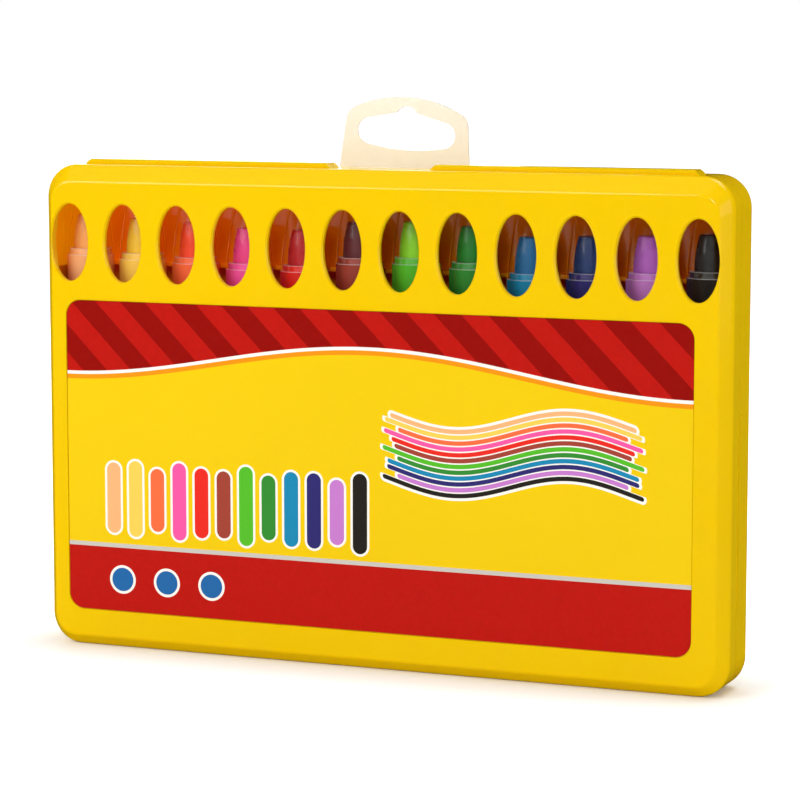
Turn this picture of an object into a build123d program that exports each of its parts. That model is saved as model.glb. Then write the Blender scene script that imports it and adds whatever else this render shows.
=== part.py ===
from build123d import *
import os

# A hinged carry case with a windowed lid that holds a row of capped twist-up wax crayons.
# Millimetres. +Z is up, the lid faces -Y, +X is to the viewer's right.
# The origin lies on the bottom face, in the middle of the case's width and depth.

# Row of crayons, left to right, and how far each has slid up from the lowest one
crayon_pitch = 18.0
crayon_lifts = (3.3, 2.3, 1.6, 0.3, 0.2, 3.0, 3.5, 2.6, 0.0, 0.6, 1.2, 2.1)

# Room for the crayons in the case: at the row's ends, below, above and behind
end_room = 9.3
foot_room = 0.8
head_room = 3.8
back_room = 1.15

# Case shells
case_depth = 23.5
lid_depth = 10.5
wall = 1.6
corner_radius = 9.5
parting_gap = 0.3
rear_edge_radius = 3.5
bevel_depth = 4.0
bevel_side = 3.2
bevel_top = 5.0
bevel_bottom = 3.6
crease_radius = 1.5
shoulder_radius = 2.6

# Lid windows and label
window_width = 12.26
window_height = 23.4
window_rise = 5.8
window_flare = 0.5
label_side_margin = 9.1
label_shift_x = -1.1
label_bottom = 11.9
label_gap = 5.8
label_corner = 4.7
label_thickness = 0.3
label_recess = 0.55
label_clearance = 0.2

# Living hinge on the top, in two strips either side of the hang tab
strap_inner_x = 15.7
strap_end_margin = 11.4
strap_rise = 1.25
strap_reach = 3.2
film_radius = 0.3
film_clearance = 0.05

# Base: finger pads on the side walls, ribs behind the crayons, tongues that locate the lid
pad_bottom = 25.0
pad_top = 80.0
pad_depth = 8.0
pad_rise = 0.25
rib_thickness = 1.2
rib_front_y = 4.75
rib_drops = (0.6, 46.0, 82.0)
cradle_clearance = 0.3
tongue_width = 4.0
tongue_thickness = 1.0
tongue_reach = 3.0
tongue_root = 4.0
tongue_pitches = (-4, 0, 4)

# Adhesive hang tab on the back, drawn from the case's top edge upwards
tab_thickness = 0.5
tab_shift_x = 1.0
tab_lean_deg = -3.4
tab_half_width = 20.7
tab_shoulder_half_width = 19.2
tab_shoulder_z = 15.5
tab_top_z = 20.6
tab_stuck_length = 22.0
tab_corner = 4.0
slot_half_width = 15.6
slot_end_half_width = 12.0
slot_bottom_z = 5.0
slot_end_bottom_z = 6.2
slot_middle_z = 10.0
slot_end_top_z = 14.0
hump_half_width = 3.2
hump_foot_z = 16.0
hump_top_z = 18.0

# Crayon barrel, z measured from the nose edge downwards
barrel_length = 98.0
barrel_radius = 7.2
barrel_end_radius = 6.6
spigot_radius = 6.4
spigot_height = 1.8
lead_clearance = 0.2
key_slot_top = 24.0

# Twist knob with its snap bead and spindle
knob_gap = 0.2
knob_length = 17.6
knob_radius = 5.6
knob_end_radius = 5.0
knob_end_rounding = 2.0
neck_length = 6.0
neck_radius = 5.0
bead_rise = 0.5
bead_height = 1.0
bead_clearance = 0.25
spindle_radius = 2.0
spindle_length = 40.5
knob_flute_count = 16
knob_flute_radius = 0.8
knob_flute_sink = 0.3

# Wax lead and the carrier that pushes it
lead_radius = 5.0
lead_tip_radius = 3.6
lead_tip_softening = 0.5
lead_show = 10.4
lead_taper_start = 1.5
lead_belly = 0.25
lead_length = 48.0
tail_radius = 4.0
tail_length = 6.0
tail_clearance = 0.05
carrier_radius = 5.0
carrier_floor = 1.5
nut_radius = 3.4
nut_length = 42.0
spindle_clearance = 0.2
key_width = 1.8
key_rise = 0.6
key_clearance = 0.2

# Clear cap, z measured from the nose edge upwards
cap_wall = 0.6
cap_clearance = 0.2
cap_seat_gap = 0.1
cap_shoulder_radius = 5.9
cap_shoulder_z = 10.4
cap_brow_radius = 4.6
cap_brow_z = 16.3
cap_top_z = 20.3

# Places that follow from the sizes above
crayon_count = len(crayon_lifts)
lowest_nose_z = wall + foot_room + knob_length + knob_gap + barrel_length
case_width = (crayon_count - 1) * crayon_pitch + 2 * end_room
case_height = lowest_nose_z + max(crayon_lifts) + cap_top_z + head_room + wall
front_y = -case_depth / 2
back_y = case_depth / 2
crayon_y = back_y - wall - back_room - barrel_radius
parting_y = front_y + lid_depth
lid_rim_y = parting_y - parting_gap / 2
base_rim_y = parting_y + parting_gap / 2
bevel_start_y = front_y + bevel_depth
strap_outer_x = case_width / 2 - strap_end_margin
hinge_z = case_height + strap_rise + film_clearance + film_radius
window_centre_z = lowest_nose_z + window_rise
label_width = case_width - 2 * label_side_margin
label_top = window_centre_z - window_height / 2 - label_gap
bore_radius = lead_radius + lead_clearance
knob_top_z = -barrel_length - knob_gap
bead_z = knob_top_z + neck_length / 2
carrier_top_z = lead_show - lead_length + tail_length
carrier_floor_z = carrier_top_z - tail_length
carrier_bottom_z = carrier_floor_z - carrier_floor
cap_mouth_z = cap_seat_gap - spigot_height
cap_mouth_radius = spigot_radius + cap_clearance + cap_wall


def crayon_x(index):
    return (index - (crayon_count - 1) / 2) * crayon_pitch


def front_outline(width, bottom, top, corner, y):
    """A rounded rectangle standing in the XZ plane at depth y."""
    outline = Pos(0, (bottom + top) / 2) * RectangleRounded(width, top - bottom, corner)
    return Plane.XZ.offset(-y) * outline


def slab(width, bottom, top, corner, y_rear, y_front):
    return extrude(front_outline(width, bottom, top, corner, y_rear), y_rear - y_front)


def box_between(x, y, z):
    """A box from three (low, high) pairs."""
    middle = [(low + high) / 2 for low, high in (x, y, z)]
    size = [high - low for low, high in (x, y, z)]
    return Pos(*middle) * Box(*size)


def turned(profile):
    """A solid of revolution about Z from a closed line drawn as (radius, z)."""
    return revolve(Plane.XZ * make_face(profile), Axis.Z)


def edges_at_depth(solid, y):
    return solid.edges().filter_by_position(Axis.Y, y - 0.01, y + 0.01)


def lid_block(inset):
    """The lid's solid form, drawn in by a wall thickness on every side but the rim."""
    rear = (case_width - 2 * inset, inset, case_height - inset, corner_radius - inset)
    front = (rear[0] - 2 * bevel_side, rear[1] + bevel_bottom, rear[2] - bevel_top, rear[3] - bevel_side)
    start_y = bevel_start_y + inset
    straight = slab(*rear, lid_rim_y, start_y)
    bevel = loft([front_outline(*rear, start_y), front_outline(*front, front_y + inset)], ruled=True)
    return straight + bevel


def hinge_straps(rim_y, direction):
    """The two raised strips beside the hinge line, with sloping ends."""
    foot_z = case_height - wall / 2
    top_z = case_height + strap_rise
    straps = []
    for side in (-1, 1):
        outline = Polyline(
            (side * strap_inner_x, foot_z),
            (side * strap_outer_x, foot_z),
            (side * strap_outer_x, case_height),
            (side * (strap_outer_x - strap_rise), top_z),
            (side * (strap_inner_x + strap_rise), top_z),
            (side * strap_inner_x, case_height),
            close=True,
        )
        straps.append(extrude(Plane.XZ.offset(-rim_y) * make_face(outline), -direction * strap_reach))
    return straps


def window_cut():
    """An oval hole through the front panel that flares at its outer edge."""

    def oval(y, growth):
        return Plane.XZ.offset(-y) * Ellipse(window_width / 2 + growth, window_height / 2 + growth)

    flare_y = front_y + window_flare
    outside_y = front_y - window_flare
    hole = extrude(oval(parting_y, 0), parting_y - outside_y)
    return hole + loft([oval(flare_y, 0), oval(outside_y, flare_y - outside_y)], ruled=True)


def case_lid():
    outer = lid_block(0)
    outer = fillet(edges_at_depth(outer, bevel_start_y), shoulder_radius)
    outer = fillet(edges_at_depth(outer, front_y), crease_radius)
    recess = Pos(label_shift_x, 0, 0) * slab(
        label_width + 2 * label_clearance,
        label_bottom - label_clearance,
        label_top + label_clearance,
        label_corner + label_clearance,
        front_y + label_recess,
        front_y - label_recess,
    )
    window_cuts = [Pos(crayon_x(i), 0, window_centre_z) * window_cut() for i in range(crayon_count)]
    return outer + hinge_straps(lid_rim_y, -1) - lid_block(wall) - recess - window_cuts


def base_cavity():
    cavity = slab(
        case_width - 2 * wall,
        wall,
        case_height - wall,
        corner_radius - wall,
        back_y - wall,
        front_y,
    )
    return fillet(cavity.edges().group_by(Axis.Y)[-1], rear_edge_radius - wall)


def base_ribs():
    """Notched cross ribs that the crayons lie in."""
    rib_y = (rib_front_y, back_y - wall / 2)
    half_row = case_width / 2 - wall / 2
    ribs = []
    for drop in rib_drops:
        rib_top = lowest_nose_z - drop
        ribs.append(box_between((-half_row, half_row), rib_y, (rib_top - rib_thickness, rib_top)))
    cradle = Cylinder(barrel_radius + cradle_clearance, case_height)
    cradles = [Pos(crayon_x(i), crayon_y, case_height / 2) * cradle for i in range(crayon_count)]
    return Part() + ribs - cradles


def base_tongues():
    """Short tongues along the bottom that hold the closed lid in line."""
    top_z = wall + parting_gap + tongue_thickness
    tongues = []
    for place in tongue_pitches:
        sides = (place * crayon_pitch - tongue_width / 2, place * crayon_pitch + tongue_width / 2)
        tongues.append(box_between(sides, (base_rim_y, base_rim_y + tongue_root), (wall / 2, top_z)))
        reach = (lid_rim_y - tongue_reach, base_rim_y + tongue_root)
        tongues.append(box_between(sides, reach, (wall + parting_gap, top_z)))
    return tongues


def case_base():
    outer = slab(case_width, 0, case_height, corner_radius, back_y, base_rim_y)
    outer = fillet(outer.edges().group_by(Axis.Y)[-1], rear_edge_radius)
    pads = []
    for side in (-1, 1):
        inside, outside = side * (case_width / 2 - wall / 2), side * (case_width / 2 + pad_rise)
        pad_x = (min(inside, outside), max(inside, outside))
        pads.append(box_between(pad_x, (base_rim_y, base_rim_y + pad_depth), (pad_bottom, pad_top)))
    shell = outer + pads + hinge_straps(base_rim_y, 1) - base_cavity()
    return shell + base_ribs() + base_tongues()


def hinge_film(side):
    """The thin bending line of one hinge strip, on the hinge axis."""
    length = strap_outer_x - strap_inner_x - 2 * strap_rise
    middle = side * (strap_outer_x + strap_inner_x) / 2
    rod = Cylinder(film_radius, length, rotation=(0, 90, 0))
    return Pos(middle, parting_y, hinge_z) * rod


def hang_tab():
    outline = Polyline(
        (tab_shoulder_half_width, tab_shoulder_z),
        (tab_half_width, 0),
        (tab_half_width, -tab_stuck_length),
        (-tab_half_width, -tab_stuck_length),
        (-tab_half_width, 0),
        (-tab_shoulder_half_width, tab_shoulder_z),
    )
    arch = ThreePointArc(
        (-tab_shoulder_half_width, tab_shoulder_z), (0, tab_top_z), (tab_shoulder_half_width, tab_shoulder_z)
    )
    sheet = make_face(outline + arch)
    corners = sheet.vertices().group_by(Axis.Y)
    sheet = fillet(corners[0] + corners[-1], tab_corner)
    hole = make_face(tab_slot_line())
    tab = extrude(Plane.XZ.offset(-back_y) * (sheet - hole), -tab_thickness)
    return Pos(tab_shift_x, 0, case_height) * (Rot(0, -tab_lean_deg, 0) * tab)


def tab_slot_line():
    """The slot for a display peg, with its middle hump."""
    left_low, right_low = (-slot_end_half_width, slot_end_bottom_z), (slot_end_half_width, slot_end_bottom_z)
    left_high, right_high = (-slot_end_half_width, slot_end_top_z), (slot_end_half_width, slot_end_top_z)
    left_foot, right_foot = (-hump_half_width, hump_foot_z), (hump_half_width, hump_foot_z)
    return (
        ThreePointArc(left_low, (0, slot_bottom_z), right_low)
        + ThreePointArc(right_low, (slot_half_width, slot_middle_z), right_high)
        + Line(right_high, right_foot)
        + ThreePointArc(right_foot, (0, hump_top_z), left_foot)
        + Line(left_foot, left_high)
        + ThreePointArc(left_high, (-slot_half_width, slot_middle_z), left_low)
    )


def front_label():
    rear_y = front_y + label_recess
    sheet = slab(label_width, label_bottom, label_top, label_corner, rear_y, rear_y - label_thickness)
    return Pos(label_shift_x, 0, 0) * sheet


def barrel():
    """A gently tapered tube with a spigot for the cap, key slots and a snap groove for the knob."""
    body = turned(
        Polyline(
            (bore_radius, 0),
            (spigot_radius, 0),
            (spigot_radius, -spigot_height),
            (barrel_radius, -spigot_height),
            (barrel_end_radius, -barrel_length),
            (bore_radius, -barrel_length),
            close=True,
        )
    )
    slot_half = key_width / 2 + key_clearance
    slot_reach = carrier_radius + key_rise + key_clearance
    key_slots = box_between(
        (-slot_reach, slot_reach), (-slot_half, slot_half), (-barrel_length, -key_slot_top)
    )
    snap = Pos(0, 0, bead_z) * Cylinder(
        neck_radius + bead_rise + bead_clearance, bead_height + 2 * bead_clearance
    )
    return body - key_slots - snap


def knob():
    end_z = knob_top_z - knob_length
    neck_top = knob_top_z + neck_length
    spindle_top = neck_top + spindle_length
    outline = Polyline(
        (0, end_z),
        (knob_end_radius, end_z),
        (knob_radius, knob_top_z),
        (neck_radius, knob_top_z),
        (neck_radius, neck_top),
        (spindle_radius, neck_top),
        (spindle_radius, spindle_top),
        (0, spindle_top),
        close=True,
    )
    body = turned(outline)
    body = fillet(body.edges().group_by(Axis.Z)[0], knob_end_rounding)
    body += Pos(0, 0, bead_z) * Cylinder(neck_radius + bead_rise, bead_height)
    flute_x = knob_radius + knob_flute_radius - knob_flute_sink
    flute = Pos(flute_x, 0, knob_top_z - knob_length / 2) * Cylinder(knob_flute_radius, 2 * knob_length)
    keep_neck = box_between((-flute_x, flute_x), (-flute_x, flute_x), (end_z, knob_top_z))
    cut = [Rot(0, 0, 360 * k / knob_flute_count) * (flute & keep_neck) for k in range(knob_flute_count)]
    return body - cut


def lead():
    """The wax stick: a bluntly tapered tip, a straight body and a narrower tail in the carrier."""
    taper_z = lead_taper_start
    belly = ((lead_radius + lead_tip_radius) / 2 + lead_belly, (taper_z + lead_show) / 2)
    lower = Polyline(
        (0, lead_show),
        (0, carrier_floor_z),
        (tail_radius, carrier_floor_z),
        (tail_radius, carrier_top_z),
        (lead_radius, carrier_top_z),
        (lead_radius, taper_z),
    )
    tip = ThreePointArc((lead_radius, taper_z), belly, (lead_tip_radius, lead_show))
    stick = turned(lower + tip + Line((lead_tip_radius, lead_show), (0, lead_show)))
    return fillet(stick.edges().group_by(Axis.Z)[-1], lead_tip_softening)


def carrier():
    """The cup under the wax, its two keys, and the long nut that runs on the spindle."""
    cup_bore = tail_radius + tail_clearance
    nut_bore = spindle_radius + spindle_clearance
    nut_bottom = carrier_bottom_z - nut_length
    body = turned(
        Polyline(
            (0, carrier_floor_z),
            (cup_bore, carrier_floor_z),
            (cup_bore, carrier_top_z),
            (carrier_radius, carrier_top_z),
            (carrier_radius, carrier_bottom_z),
            (nut_radius, carrier_bottom_z),
            (nut_radius, nut_bottom),
            (nut_bore, nut_bottom),
            (nut_bore, carrier_bottom_z),
            (0, carrier_bottom_z),
            close=True,
        )
    )
    reach = carrier_radius + key_rise
    root = (cup_bore + carrier_radius) / 2
    for low, high in ((-reach, -root), (root, reach)):
        body += box_between((low, high), (-key_width / 2, key_width / 2), (carrier_bottom_z, carrier_top_z))
    return body


def cap():
    """A thin bullet whose mouth sits over the spigot, flush with the barrel."""

    def bullet(inset):
        return Spline(
            (cap_mouth_radius - inset, cap_mouth_z),
            (cap_shoulder_radius - inset, cap_shoulder_z),
            (cap_brow_radius - inset, cap_brow_z - inset / 2),
            (0, cap_top_z - inset),
            tangents=((0, 1), (-1, 0)),
        )

    outside = bullet(0)
    inside = bullet(cap_wall)
    return turned(outside + Line(outside @ 0, inside @ 0) + inside + Line(inside @ 1, outside @ 1))


def save(name, *solids):
    """Write one node, as its single solid or as a group of separate ones."""
    shape = solids[0] if len(solids) == 1 else Compound(children=list(solids))
    export_step(shape, os.path.join("parts", name + ".step"))


os.makedirs("parts", exist_ok=True)
save("case_base", case_base())
save("case_lid", case_lid())
save("hinge_film_left", hinge_film(-1))
save("hinge_film_right", hinge_film(1))
save("hang_tab", hang_tab())
save("front_label", front_label())

crayon_pieces = {"barrel": [barrel()], "knob": [knob()], "lead": [lead(), carrier()], "cap": [cap()]}
for index, lift in enumerate(crayon_lifts):
    place = Pos(crayon_x(index), crayon_y, lowest_nose_z + lift)
    for piece, solids in crayon_pieces.items():
        save(f"{piece}_{index + 1:02d}", *[place * solid for solid in solids])
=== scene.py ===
import math

import bmesh
import bpy
from mathutils import Matrix, Vector


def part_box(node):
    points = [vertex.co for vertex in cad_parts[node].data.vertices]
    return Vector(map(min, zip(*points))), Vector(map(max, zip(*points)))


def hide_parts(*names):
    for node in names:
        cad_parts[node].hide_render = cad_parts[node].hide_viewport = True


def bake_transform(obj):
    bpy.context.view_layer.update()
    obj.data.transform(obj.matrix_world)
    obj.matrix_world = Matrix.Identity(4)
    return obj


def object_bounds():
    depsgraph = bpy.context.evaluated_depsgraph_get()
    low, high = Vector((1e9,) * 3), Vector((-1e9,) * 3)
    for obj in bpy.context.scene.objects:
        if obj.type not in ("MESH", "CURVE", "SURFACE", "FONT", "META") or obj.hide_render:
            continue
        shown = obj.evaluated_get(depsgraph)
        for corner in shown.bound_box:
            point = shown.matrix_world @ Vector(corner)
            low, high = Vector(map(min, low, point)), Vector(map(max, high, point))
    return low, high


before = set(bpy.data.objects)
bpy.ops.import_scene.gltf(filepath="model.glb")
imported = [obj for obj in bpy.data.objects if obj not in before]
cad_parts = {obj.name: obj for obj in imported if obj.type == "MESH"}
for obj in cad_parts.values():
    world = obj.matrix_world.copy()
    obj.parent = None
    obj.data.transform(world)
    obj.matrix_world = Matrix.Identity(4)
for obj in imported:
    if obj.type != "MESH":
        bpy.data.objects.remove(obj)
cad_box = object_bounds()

# The looks of a hinged case with a row of capped twist-up wax crayons.
# Metres, in the frame of the model: +Z is up and the lid faces -Y.

MM = 0.001

# The photograph's camera, fitted to the case's edges and windows
IMAGE_WIDTH = 800
FOCAL_PIXELS = 3000
SENSOR_WIDTH = 36.0
CAMERA_YAW = math.radians(22.709)
CAMERA_PITCH = math.radians(7.0)
CAMERA_ROLL = math.radians(-0.003)
TARGET_HEIGHT = 124.0 * MM
TARGET_RIGHT = -8.73 * MM
TARGET_UP = 43.06 * MM
TARGET_DISTANCE = 869.21 * MM

# Screen colours, red, green and blue from 0 to 255: the barrel, then the wax
CRAYON_COLOURS = {
    "peach": ((252, 183, 124), (255, 176, 98)),
    "yellow_orange": ((255, 210, 88), (255, 208, 58)),
    "orange": ((255, 112, 66), (255, 76, 36)),
    "pink": ((254, 90, 166), (250, 72, 146)),
    "red": ((236, 46, 36), (195, 26, 30)),
    "brown": ((164, 70, 56), (100, 35, 37)),
    "light_green": ((88, 190, 45), (146, 220, 38)),
    "green": ((56, 142, 54), (24, 128, 34)),
    "light_blue": ((31, 138, 181), (28, 106, 160)),
    "navy": ((52, 48, 114), (28, 54, 108)),
    "violet": ((200, 126, 206), (188, 102, 202)),
    "black": ((42, 39, 34), (27, 25, 23)),
}
CASE_YELLOW = (245, 200, 3)
# Painted shade: the deeper orange of the case's inner faces
CASE_INNER_SHADE = (222, 128, 2)
# Painted glow: emission colours that stand in for light through the walls, yellower near the left end
CASE_PAINTED_GLOW = (255, 105, 0)
CASE_END_PAINTED_GLOW = (255, 175, 0)
TAB_CREAM = (250, 242, 224)
PRINT_YELLOW = (243, 204, 10)
PRINT_RED = (190, 24, 16)
PRINT_DARK_RED = (150, 14, 8)
PRINT_ORANGE = (245, 150, 20)
PRINT_SILVER = (205, 200, 190)
PRINT_BLUE = (40, 105, 170)
PRINT_WHITE = (250, 248, 240)


def linear(screen):
    """A screen colour as the linear colour that shaders take."""
    shares = [value / 255 for value in screen]
    return tuple(s / 12.92 if s <= 0.04045 else ((s + 0.055) / 1.055) ** 2.4 for s in shares) + (1.0,)


class Surface:
    """A procedural material: one Principled shader, and helpers for the nodes that feed it."""

    def __init__(self, name, **plain):
        self.material = bpy.data.materials.new(name)
        self.material.use_nodes = True
        self.tree = self.material.node_tree
        self.shader = self.tree.nodes["Principled BSDF"]
        self.output = self.tree.nodes["Material Output"]
        self.place = self.node("ShaderNodeTexCoord").outputs["Object"]
        for socket, value in plain.items():
            self.shader.inputs[socket.replace("_", " ")].default_value = value

    def feed(self, socket, value):
        if isinstance(value, bpy.types.NodeSocket):
            self.tree.links.new(value, socket)
        else:
            socket.default_value = value

    def drive(self, socket, value):
        self.feed(self.shader.inputs[socket], value)

    def node(self, kind, inputs=None, **settings):
        made = self.tree.nodes.new(kind)
        for name, value in settings.items():
            setattr(made, name, value)
        for socket, value in (inputs or {}).items():
            self.feed(made.inputs[socket], value)
        return made

    def math(self, operation, first, second=0.0, third=0.0):
        made = self.node("ShaderNodeMath", {0: first, 1: second, 2: third}, operation=operation)
        return made.outputs[0]

    def mix(self, share, below, above):
        made = self.node("ShaderNodeMix", {0: share, 6: below, 7: above}, data_type="RGBA")
        return made.outputs[2]

    def spread(self, value, low, high, start=0.3, end=0.7):
        inputs = {"Value": value, "From Min": start, "From Max": end, "To Min": low, "To Max": high}
        return self.node("ShaderNodeMapRange", inputs).outputs["Result"]

    def noise(self, blob, detail=2.0, stretch=(1, 1, 1)):
        """Noise with blobs about that many metres across, longer along the stretched axes."""
        squeeze = Vector(1 / s for s in stretch)
        place = self.node("ShaderNodeVectorMath", {0: self.place, 1: squeeze}, operation="MULTIPLY")
        inputs = {"Vector": place.outputs[0], "Scale": 1 / blob, "Detail": detail}
        return self.node("ShaderNodeTexNoise", inputs).outputs["Fac"]

    def bump(self, height, depth):
        made = self.node("ShaderNodeBump", {"Height": height, "Distance": depth, "Strength": 1.0})
        self.drive("Normal", made.outputs["Normal"])

    def tinted(self, screen, change, blob):
        """The colour, a little lighter and darker in soft blobs."""
        colour = Vector(linear(screen)[:3])
        dark = tuple(colour * (1 - change)) + (1.0,)
        light = tuple(colour * (1 + change)) + (1.0,)
        return self.mix(self.spread(self.noise(blob), 0.0, 1.0), dark, light)


def inside_mask(plastic, axes):
    """Where a point lies on the inner faces of the closed case's rounded box."""
    wall = 1.4 * MM
    corner = 9.5 * MM
    strap_rise = 1.25 * MM
    bevel_depth = 3.0 * MM
    low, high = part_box("case_lid")
    front = low.y + bevel_depth
    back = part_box("case_base")[1].y - wall
    middle_height = (high.z - strap_rise) / 2
    aside = plastic.math("ABSOLUTE", axes["X"])
    rise = plastic.math("ABSOLUTE", plastic.math("SUBTRACT", axes["Z"], middle_height))
    past_side = plastic.math("MAXIMUM", plastic.math("SUBTRACT", aside, high.x - corner), 0.0)
    past_top = plastic.math("MAXIMUM", plastic.math("SUBTRACT", rise, middle_height - corner), 0.0)
    squares = plastic.math("MULTIPLY_ADD", past_side, past_side, plastic.math("MULTIPLY", past_top, past_top))
    outline = plastic.math("LESS_THAN", plastic.math("SQRT", squares), corner - wall)
    depth = plastic.math("COMPARE", axes["Y"], (front + back) / 2, (back - front) / 2)
    return plastic.math("MULTIPLY", outline, depth)


def painted_inside_glow(plastic, axes):
    """Painted glow: emission strength that stands in for light through the walls, a little under the top, and
    more at the left, above the top rib.
    """
    top_glow = 0.05
    left_glow = 0.24
    top_reach = 34 * MM
    top_full = 4 * MM
    rib_bottom = 116.4 * MM
    rib_fade = 0.5 * MM
    low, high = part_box("case_lid")
    near_top = plastic.spread(axes["Z"], 0.0, top_glow, start=high.z - top_reach, end=high.z - top_full)
    near_left = plastic.spread(axes["X"], 0.0, left_glow, start=0.0, end=low.x)
    above_rib = plastic.spread(axes["Z"], 0.0, 1.0, start=rib_bottom - rib_fade, end=rib_bottom)
    return plastic.math("ADD", near_top, plastic.math("MULTIPLY", near_left, above_rib))


def case_plastic():
    """Glossy polypropylene with a little subsurface scattering; its inner faces get painted shade, a deeper
    orange, and a painted glow that stands in for light through the walls.
    """
    end_reach = 16 * MM
    end_full = 2 * MM
    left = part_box("case_lid")[0].x
    plastic = Surface(
        "case_yellow",
        Specular_IOR_Level=0.35,
        Subsurface_Weight=0.25,
        Subsurface_Radius=(1.0, 0.45, 0.03),
        Subsurface_Scale=3 * MM,
    )
    plastic.drive("Roughness", plastic.spread(plastic.noise(blob=9 * MM), low=0.1, high=0.15))
    plastic.bump(plastic.noise(blob=14 * MM), depth=0.02 * MM)
    axes = plastic.node("ShaderNodeSeparateXYZ", {0: plastic.place}).outputs
    inside = inside_mask(plastic, axes)
    outer = plastic.tinted(CASE_YELLOW, change=0.012, blob=40 * MM)
    # Painted shade: the inner faces get a deeper orange base colour
    plastic.drive("Base Color", plastic.mix(inside, outer, linear(CASE_INNER_SHADE)))
    at_end = plastic.spread(axes["X"], 0.0, 1.0, start=left + end_reach, end=left + end_full)
    # Painted glow: emission on the inner faces stands in for light that comes through the walls
    plastic.drive("Emission Color", plastic.mix(at_end, linear(CASE_PAINTED_GLOW), linear(CASE_END_PAINTED_GLOW)))
    plastic.drive("Emission Strength", plastic.math("MULTIPLY", inside, painted_inside_glow(plastic, axes)))
    return plastic.material


def tab_film():
    """Milky film that lets some light through."""
    film = Surface("tab_film", Transmission_Weight=0.3, IOR=1.45)
    film.drive("Base Color", film.tinted(TAB_CREAM, change=0.01, blob=8 * MM))
    film.drive("Roughness", film.spread(film.noise(blob=3 * MM), low=0.28, high=0.4))
    film.bump(film.noise(blob=4 * MM), depth=0.02 * MM)
    return film.material


def barrel_plastic(name, screen, top):
    """Glossy plastic with painted highlights: paler bands at the spigot's top rim and at the cap's mouth
    line, where edges catch the light.
    """
    spigot_height = 1.8 * MM
    rim = 0.1 * MM
    shine = 0.4
    plastic = Surface("barrel_" + name, Specular_IOR_Level=0.4)
    height = plastic.node("ShaderNodeSeparateXYZ", {0: plastic.place}).outputs["Z"]
    # Painted highlights: thin bands at the spigot's top rim and at the cap's mouth line, mixed towards white
    upper = plastic.math("GREATER_THAN", height, top - rim)
    lower = plastic.math("COMPARE", height, top - spigot_height, rim)
    painted_rim_highlights = plastic.math("MULTIPLY", plastic.math("MAXIMUM", upper, lower), shine)
    colour = plastic.tinted(screen, change=0.03, blob=12 * MM)
    plastic.drive("Base Color", plastic.mix(painted_rim_highlights, colour, (1, 1, 1, 1)))
    plastic.drive("Roughness", plastic.spread(plastic.noise(blob=4 * MM), low=0.16, high=0.24))
    plastic.bump(plastic.noise(blob=10 * MM, detail=0.0), depth=0.004 * MM)
    return plastic.material


def wax(name, screen):
    """Moulded wax: satin, faintly streaked along the stick and mottled."""
    stick = Surface("wax_" + name, Specular_IOR_Level=0.2, Subsurface_Weight=0.2, Subsurface_Scale=0.6 * MM)
    stick.drive("Base Color", stick.tinted(screen, change=0.06, blob=2.5 * MM))
    stick.drive("Roughness", stick.spread(stick.noise(blob=1.5 * MM), low=0.25, high=0.35))
    stick.bump(stick.noise(blob=0.7 * MM, stretch=(1, 1, 8)), depth=0.01 * MM)
    return stick.material


def clear_plastic():
    """Clear moulded plastic that lets light through to what is behind it."""
    tint = (0.96, 0.97, 0.97, 1)
    clear = Surface(
        "clear_cap",
        Base_Color=(1, 1, 1, 1),
        Transmission_Weight=1.0,
        IOR=1.03,
        Coat_Weight=0.2,
        Coat_Roughness=0.05,
    )
    clear.drive("Roughness", clear.spread(clear.noise(blob=5 * MM), low=0.02, high=0.06))
    clear.bump(clear.noise(blob=6 * MM), depth=0.01 * MM)
    rays = clear.node("ShaderNodeLightPath").outputs
    passing = clear.node("ShaderNodeBsdfTransparent", {"Color": tint}).outputs["BSDF"]
    surface = clear.shader.outputs["BSDF"]
    for ray in ("Is Shadow Ray", "Is Diffuse Ray"):
        surface = clear.node("ShaderNodeMixShader", {0: rays[ray], 1: surface, 2: passing}).outputs["Shader"]
    clear.feed(clear.output.inputs["Surface"], surface)
    return clear.material


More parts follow.
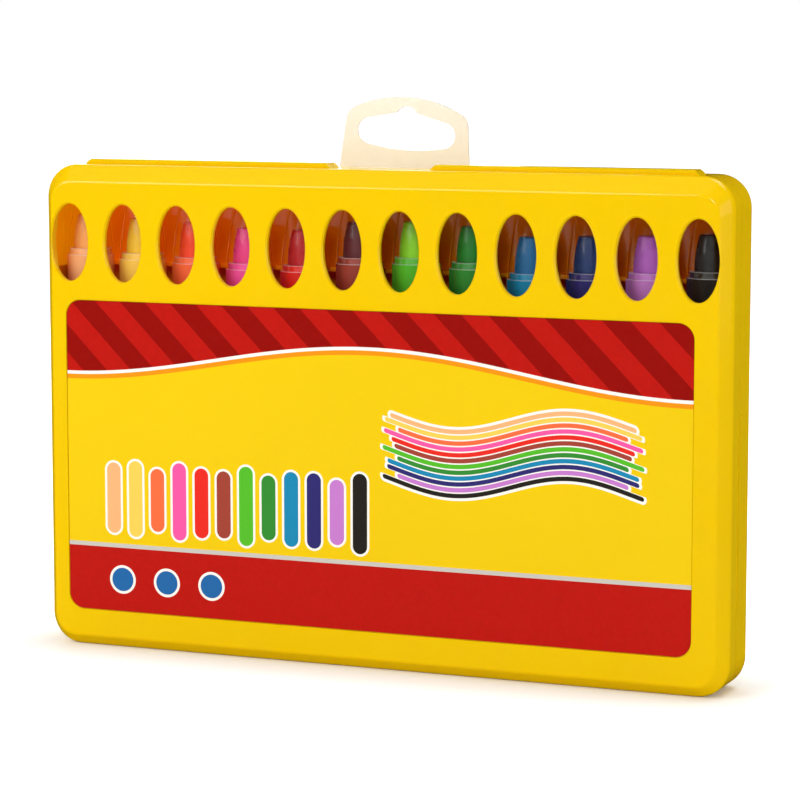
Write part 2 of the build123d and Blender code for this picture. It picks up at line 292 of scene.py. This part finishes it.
class Print(Surface):
    """A surface printed in a vertical plane, with masks drawn in metres across from a middle and up."""

    def __init__(self, name, middle, **plain):
        super().__init__(name, **plain)
        axes = self.node("ShaderNodeSeparateXYZ", {0: self.place})
        self.across = self.math("SUBTRACT", axes.outputs["X"], middle)
        self.up = axes.outputs["Z"]

    def above(self, value, edge):
        return self.math("GREATER_THAN", value, edge)

    def below(self, value, edge):
        return self.math("LESS_THAN", value, edge)

    def lanes(self, along, pitch, count):
        """The number of the equal lane nearest to a point, from 0, and the distance from its middle."""
        steps = self.math("MULTIPLY_ADD", along, 1 / pitch, count / 2)
        index = self.math("MINIMUM", self.math("MAXIMUM", self.math("FLOOR", steps), 0.0), count - 1.0)
        offset = self.math("MULTIPLY", self.math("SUBTRACT", self.math("SUBTRACT", steps, index), 0.5), pitch)
        return index, offset

    def uneven(self, index, middle, swing):
        """A length that differs from lane to lane."""
        lane_turn = 2.4
        wave = self.math("SINE", self.math("MULTIPLY", index, lane_turn))
        return self.math("MULTIPLY_ADD", wave, swing, middle)

    def past(self, value, end):
        return self.math("MAXIMUM", self.math("SUBTRACT", value, end), 0.0)

    def away(self, first, second):
        """The distance that lies that far along both axes."""
        squares = self.math("MULTIPLY_ADD", first, first, self.math("MULTIPLY", second, second))
        return self.math("SQRT", squares)

    def stroke(self, below, distance, half_width, outline, colour):
        """A stroke with a white outline, over what is below it."""
        outlined = self.mix(self.below(distance, half_width + outline), below, linear(PRINT_WHITE))
        return self.mix(self.below(distance, half_width), outlined, colour)

    def crayon_colour(self, index):
        """The colour of that crayon, from a ramp with one even step for each."""
        count = len(CRAYON_COLOURS)
        ramp = self.node("ShaderNodeValToRGB", {0: self.math("DIVIDE", self.math("ADD", index, 0.5), count)})
        ramp.color_ramp.interpolation = "CONSTANT"
        steps = ramp.color_ramp.elements
        while len(steps) < count:
            steps.new(1.0)
        for number, (barrel, _) in enumerate(CRAYON_COLOURS.values()):
            steps[number].position = number / count
            steps[number].color = linear(barrel)
        return ramp.outputs["Color"]


def label_print(low, high):
    """A varnished sheet: striped red head, yellow field with strokes in every colour, red foot with dots."""
    half_width = (high.x - low.x) / 2
    foot_height = 20.8 * MM
    foot_line = 1.3 * MM
    head_edge_middle = high.z - 16.0 * MM
    head_edge_swing = 5.5 * MM
    piping_white = 1.0 * MM
    piping_orange = 2.4 * MM
    stripe_period = 17.0 * MM
    stripe_share = 0.5
    foot_top = low.z + foot_height
    sheet = Print("label_print", (low.x + high.x) / 2, Specular_IOR_Level=0.2)

    colour = sheet.tinted(PRINT_YELLOW, change=0.015, blob=60 * MM)
    colour = upright_strokes(sheet, colour, foot_top)
    colour = wave_strokes(sheet, colour, foot_top)

    wave = sheet.math("COSINE", sheet.math("MULTIPLY", sheet.across, math.pi / half_width))
    edge = sheet.math("MULTIPLY_ADD", wave, head_edge_swing, head_edge_middle)
    height = sheet.math("SUBTRACT", sheet.up, edge)
    slant = sheet.math("ADD", sheet.across, sheet.up)
    stripe = sheet.above(sheet.math("FRACT", sheet.math("DIVIDE", slant, stripe_period)), stripe_share)
    red = sheet.tinted(PRINT_RED, change=0.04, blob=1.2 * MM)
    dark_red = sheet.tinted(PRINT_DARK_RED, change=0.04, blob=1.2 * MM)
    colour = sheet.mix(sheet.above(height, -piping_orange), colour, linear(PRINT_ORANGE))
    colour = sheet.mix(sheet.above(height, -piping_white), colour, linear(PRINT_WHITE))
    colour = sheet.mix(sheet.above(height, 0.0), colour, sheet.mix(stripe, red, dark_red))

    colour = sheet.mix(sheet.below(sheet.up, foot_top), colour, linear(PRINT_SILVER))
    colour = sheet.mix(sheet.below(sheet.up, foot_top - foot_line), colour, red)
    colour = foot_dots(sheet, colour, low.z + (foot_height - foot_line) / 2)

    sheet.drive("Base Color", colour)
    sheet.drive("Roughness", sheet.spread(sheet.noise(blob=2 * MM), low=0.15, high=0.2))
    sheet.bump(sheet.noise(blob=9 * MM), depth=0.02 * MM)
    return sheet.material


def upright_strokes(sheet, below, foot_top):
    """A row of short upright strokes, one in each crayon's colour, at the lower left."""
    middle = -43 * MM
    pitch = 7.4 * MM
    half_stroke = 2.3 * MM
    outline = 0.7 * MM
    bottom = foot_top + 5.5 * MM
    half_length = 8.5 * MM
    swing = 1.2 * MM
    index, offset = sheet.lanes(sheet.math("SUBTRACT", sheet.across, middle), pitch, len(CRAYON_COLOURS))
    rise = sheet.math("ABSOLUTE", sheet.math("SUBTRACT", sheet.up, bottom + half_length))
    past_end = sheet.past(rise, sheet.uneven(index, half_length, swing))
    distance = sheet.away(offset, past_end)
    return sheet.stroke(below, distance, half_stroke, outline, sheet.crayon_colour(index))


def wave_strokes(sheet, below, foot_top):
    """A bundle of strokes, one in each crayon's colour, that flows across the upper right."""
    middle = 45 * MM
    middle_rise = 34 * MM
    pitch = 1.7 * MM
    half_stroke = 0.65 * MM
    outline = 0.8 * MM
    half_length = 37 * MM
    stagger = 2.5 * MM
    swing = 3.5 * MM
    wavelength = 72 * MM
    turns = sheet.math("MULTIPLY", sheet.math("SUBTRACT", sheet.across, middle), 2 * math.pi / wavelength)
    wave = sheet.math("MULTIPLY_ADD", sheet.math("SINE", turns), swing, foot_top + middle_rise)
    fall = sheet.math("SUBTRACT", wave, sheet.up)
    index, offset = sheet.lanes(fall, pitch, len(CRAYON_COLOURS))
    slope = sheet.math("MULTIPLY", sheet.math("COSINE", turns), 2 * math.pi * swing / wavelength)
    aside = sheet.math("DIVIDE", offset, sheet.away(slope, 1.0))
    run = sheet.math("ABSOLUTE", sheet.math("SUBTRACT", sheet.across, middle))
    past_end = sheet.past(run, sheet.uneven(index, half_length, stagger))
    distance = sheet.away(aside, past_end)
    return sheet.stroke(below, distance, half_stroke, outline, sheet.crayon_colour(index))


def foot_dots(sheet, below, rise_to_middle):
    """Three plain dots with white rims at the left of the foot."""
    middle = -66 * MM
    pitch = 15 * MM
    radius = 3.6 * MM
    rim = 0.8 * MM
    count = 3
    _, offset = sheet.lanes(sheet.math("SUBTRACT", sheet.across, middle), pitch, count)
    distance = sheet.away(offset, sheet.math("SUBTRACT", sheet.up, rise_to_middle))
    rimmed = sheet.mix(sheet.below(distance, radius + rim), below, linear(PRINT_WHITE))
    return sheet.mix(sheet.below(distance, radius), rimmed, linear(PRINT_BLUE))


def dress(node, material):
    """Give a node of the model its material."""
    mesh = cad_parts[node].data
    mesh.materials.clear()
    mesh.materials.append(material)


def dress_nodes():
    yellow = case_plastic()
    for node in ("case_base", "case_lid"):
        dress(node, yellow)
    for node in ("hinge_film_left", "hinge_film_right"):
        add_hinge_strip(node, yellow)
    dress("hang_tab", tab_film())
    dress("front_label", label_print(*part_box("front_label")))
    clear = clear_plastic()
    for number, (name, (barrel, lead)) in enumerate(CRAYON_COLOURS.items(), start=1):
        plastic = barrel_plastic(name, barrel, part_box(f"barrel_{number:02d}")[1].z)
        dress(f"barrel_{number:02d}", plastic)
        dress(f"knob_{number:02d}", plastic)
        dress(f"lead_{number:02d}", wax(name, lead))
        dress(f"cap_{number:02d}", clear)


def add_hinge_strip(film, plastic):
    """A thin sheet across the tops of the two straps, grooved along the hinge."""
    reach = 2.5 * MM
    rows = 24
    thickness = 0.3 * MM
    groove_reach = 0.5 * MM
    groove_share = 0.45
    edge_share = 0.1
    strap_gap = 0.04 * MM
    low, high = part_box(film)
    middle_y = (low.y + high.y) / 2
    bottom = low.z - strap_gap
    shape = bmesh.new()
    rings = []
    for row in range(rows + 1):
        aside = reach * (2 * row / rows - 1)
        groove = max(0.0, 1 - abs(aside) / groove_reach)
        taper = min(1.0, (reach - abs(aside)) / thickness)
        top = bottom + thickness * max(edge_share, taper) * (1 - groove_share * groove)
        corners = ((low.x, bottom), (low.x, top), (high.x, top), (high.x, bottom))
        rings.append([shape.verts.new((x, middle_y + aside, z)) for x, z in corners])
    for ring, following in zip(rings, rings[1:]):
        for corner in range(4):
            after = (corner + 1) % 4
            shape.faces.new((ring[corner], ring[after], following[after], following[corner]))
    shape.faces.new(rings[0])
    shape.faces.new(reversed(rings[-1]))
    bmesh.ops.recalc_face_normals(shape, faces=shape.faces)
    mesh = bpy.data.meshes.new(film + "_strip")
    shape.to_mesh(mesh)
    shape.free()
    mesh.materials.append(plastic)
    strip = bpy.data.objects.new(film + "_strip", mesh)
    bpy.context.scene.collection.objects.link(strip)
    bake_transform(strip)
    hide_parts(film)


def add_floor():
    """A wide pale floor that renders white to the camera and keeps the object's contact shadow."""
    half = 6.0
    contact_lift, open_lift = 0.1, 0.8
    shadow_reach = 45 * MM
    mesh = bpy.data.meshes.new("floor")
    corners = [(-half, -half, 0), (half, -half, 0), (half, half, 0), (-half, half, 0)]
    mesh.from_pydata(corners, [], [(0, 1, 2, 3)])
    floor = bpy.data.objects.new("floor", mesh)
    bpy.context.scene.collection.objects.link(floor)
    paper = Surface("floor", Roughness=0.9, Specular_IOR_Level=0.0, Base_Color=(0.92, 0.92, 0.92, 1))
    rays = paper.node("ShaderNodeLightPath").outputs
    seen = paper.math("MAXIMUM", rays["Is Camera Ray"], rays["Is Transmission Ray"])
    seen = paper.math("MAXIMUM", seen, rays["Is Glossy Ray"])
    footprint = Vector((cad_box[1].x, cad_box[1].y, 1.0))
    aside = paper.node("ShaderNodeVectorMath", {0: paper.place}, operation="ABSOLUTE").outputs[0]
    past = paper.node("ShaderNodeVectorMath", {0: aside, 1: footprint}, operation="SUBTRACT").outputs[0]
    outside = paper.node("ShaderNodeVectorMath", {0: past}, operation="MAXIMUM").outputs[0]
    reach = paper.node("ShaderNodeVectorMath", {0: outside}, operation="LENGTH").outputs["Value"]
    strength = paper.spread(reach, contact_lift, open_lift, start=0.0, end=shadow_reach)
    paper.shader.inputs["Emission Color"].default_value = (1, 1, 1, 1)
    paper.drive("Emission Strength", paper.math("MULTIPLY", seen, strength))
    mesh.materials.append(paper.material)


def add_reflection_dome():
    """A dark dome and floor, seen only in reflections, that keeps glossy colours deep between highlights."""
    radius = 1.5
    floor_gap = 0.3 * MM
    mesh = bpy.data.meshes.new("reflection_dome")
    shape = bmesh.new()
    bmesh.ops.create_uvsphere(shape, u_segments=48, v_segments=24, radius=radius)
    for corner in shape.verts:
        corner.co.z = max(corner.co.z, floor_gap)
    shape.to_mesh(mesh)
    shape.free()
    dome = bpy.data.objects.new("reflection_dome", mesh)
    dome.visible_camera = False
    dome.visible_diffuse = False
    dome.visible_transmission = False
    dome.visible_volume_scatter = False
    dome.visible_shadow = False
    bpy.context.scene.collection.objects.link(dome)
    dark = (0.01, 0.01, 0.01, 1)
    cloth = Surface("reflection_dome", Roughness=1.0, Specular_IOR_Level=0.0, Base_Color=dark)
    mesh.materials.append(cloth.material)


def add_world():
    """White to the eye and behind clear plastic, and an even, dimmer light on the object."""
    ambient = 0.43
    world = bpy.data.worlds.new("studio")
    bpy.context.scene.world = world
    world.use_nodes = True
    tree = world.node_tree
    output = tree.nodes["World Output"]
    light = tree.nodes["Background"]
    light.inputs["Color"].default_value = (1, 1, 1, 1)
    light.inputs["Strength"].default_value = ambient
    white = tree.nodes.new("ShaderNodeBackground")
    white.inputs["Color"].default_value = (1, 1, 1, 1)
    rays = tree.nodes.new("ShaderNodeLightPath").outputs
    through = tree.nodes.new("ShaderNodeMath")
    tree.links.new(rays["Is Glossy Ray"], through.inputs[0])
    tree.links.new(rays["Is Transmission Ray"], through.inputs[1])
    seen = tree.nodes.new("ShaderNodeMath")
    seen.use_clamp = True
    tree.links.new(rays["Is Camera Ray"], seen.inputs[0])
    tree.links.new(through.outputs[0], seen.inputs[1])
    mixed = tree.nodes.new("ShaderNodeMixShader")
    tree.links.new(seen.outputs[0], mixed.inputs[0])
    tree.links.new(light.outputs[0], mixed.inputs[1])
    tree.links.new(white.outputs[0], mixed.inputs[2])
    tree.links.new(mixed.outputs[0], output.inputs["Surface"])


def add_lamp(name, place, aim, width, height, share):
    """A softbox that gives that share of full light to a surface facing it at its aim."""
    place, aim = Vector(place), Vector(aim)
    data = bpy.data.lights.new(name, "AREA")
    data.shape = "RECTANGLE"
    data.size = width
    data.size_y = height
    data.energy = share * (math.pi * (aim - place).length) ** 2
    lamp = bpy.data.objects.new(name, data)
    lamp.location = place
    lamp.rotation_mode = "QUATERNION"
    lamp.rotation_quaternion = (aim - place).to_track_quat("-Z", "Y")
    bpy.context.scene.collection.objects.link(lamp)


def add_lamps():
    """Softboxes: places, widths and heights in metres."""
    low, high = cad_box
    middle = (low + high) / 2
    top = Vector((0, low.y, high.z))
    add_lamp("key_softbox", (-0.42, -0.66, 0.5), top, width=0.6, height=0.45, share=0.46)
    add_lamp("fill_softbox", (1.0, -0.45, 0.25), middle, width=0.8, height=0.8, share=0.18)
    add_lamp("top_softbox", (0.4, 0.25, 1.0), top, width=0.8, height=0.4, share=0.34)
    add_lamp("sky_softbox", (-0.2, -0.1, 1.3), top, width=1.4, height=1.4, share=0.12)
    add_lamp("corner_softbox", (0.31, -0.87, 0.61), top, width=0.15, height=0.15, share=0.14)
    add_lamp("back_softbox", (-0.55, 0.8, 0.4), middle, width=0.6, height=0.6, share=0.3)


def add_camera():
    """The photograph's camera, aimed from the middle of the front."""
    sine_yaw, cosine_yaw = math.sin(CAMERA_YAW), math.cos(CAMERA_YAW)
    sine_pitch, cosine_pitch = math.sin(CAMERA_PITCH), math.cos(CAMERA_PITCH)
    forward = Vector((-sine_yaw * cosine_pitch, cosine_yaw * cosine_pitch, -sine_pitch))
    level_right = Vector((cosine_yaw, sine_yaw, 0))
    level_up = level_right.cross(forward)
    right = math.cos(CAMERA_ROLL) * level_right + math.sin(CAMERA_ROLL) * level_up
    up = math.cos(CAMERA_ROLL) * level_up - math.sin(CAMERA_ROLL) * level_right
    target = Vector((0, cad_box[0].y, TARGET_HEIGHT))
    place = target - right * TARGET_RIGHT - up * TARGET_UP - forward * TARGET_DISTANCE
    data = bpy.data.cameras.new("camera")
    data.sensor_width = SENSOR_WIDTH
    data.lens = SENSOR_WIDTH * FOCAL_PIXELS / IMAGE_WIDTH
    camera = bpy.data.objects.new("camera", data)
    camera.matrix_world = Matrix((right, up, -forward)).transposed().to_4x4()
    camera.location = place
    bpy.context.scene.collection.objects.link(camera)
    bpy.context.scene.camera = camera


dress_nodes()
add_floor()
add_reflection_dome()
add_world()
add_lamps()
add_camera()
bpy.context.scene.view_settings.view_transform = "Standard"
